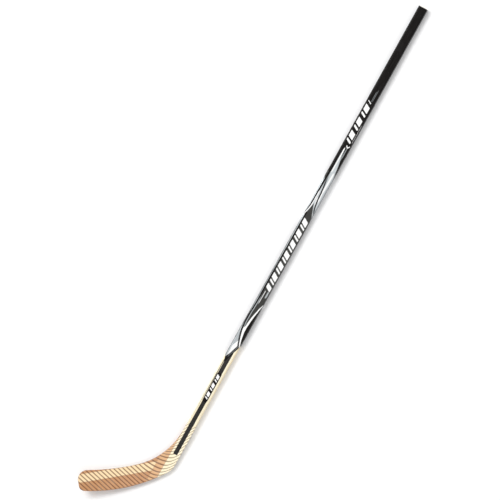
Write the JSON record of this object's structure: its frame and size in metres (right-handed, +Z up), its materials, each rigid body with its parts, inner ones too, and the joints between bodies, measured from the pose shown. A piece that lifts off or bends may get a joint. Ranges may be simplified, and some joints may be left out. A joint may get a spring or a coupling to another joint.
{
  "type": "ice hockey stick",
  "caption": "Wooden ice hockey stick: laminated shaft with a printed film, slotted heel joint, and a curved blade of glued boards in a ribbed glass-fibre sock.",
  "frame": {"origin": "on the shaft's back wide face, on its centreline, half way along the stick's 1600 mm length", "axes": "+X along the shaft from heel to butt; +Y across the shaft towards the blade; +Z up through the shaft's thickness, out of the front face. Z = 0 is the surface the shaft lies on, and the blade's hollow side faces +Z."},
  "size_m": [1.7495, 0.2342, 0.0402],
  "materials": {
    "aspen": "pale straight-grained core wood under clear lacquer",
    "birch": "pale face veneer under clear lacquer",
    "brown_board": "brown hardwood under clear resin",
    "cream_board": "cream hardwood under clear resin",
    "heel_wood": "tan hardwood under clear resin",
    "graphite": "charcoal fibre and resin strip, satin",
    "printed_film": "black film with silver and white graphics, glossy",
    "glass_resin": "see-through glass-fibre rovings in clear resin, ribbed"
  },
  "bodies": {
    "root": {"core_front": "aspen", "core_middle": "aspen", "core_back": "aspen", "veneer_front": "birch", "veneer_back": "birch", "strip_front": "graphite", "strip_back": "graphite", "graphic_film": "printed_film", "heel_block": "heel_wood", "board_bottom": "brown_board", "board_middle": "cream_board", "board_top_heel": "brown_board", "board_top_toe": "brown_board", "glass_sock": "glass_resin"}
  },
  "joints": []
}
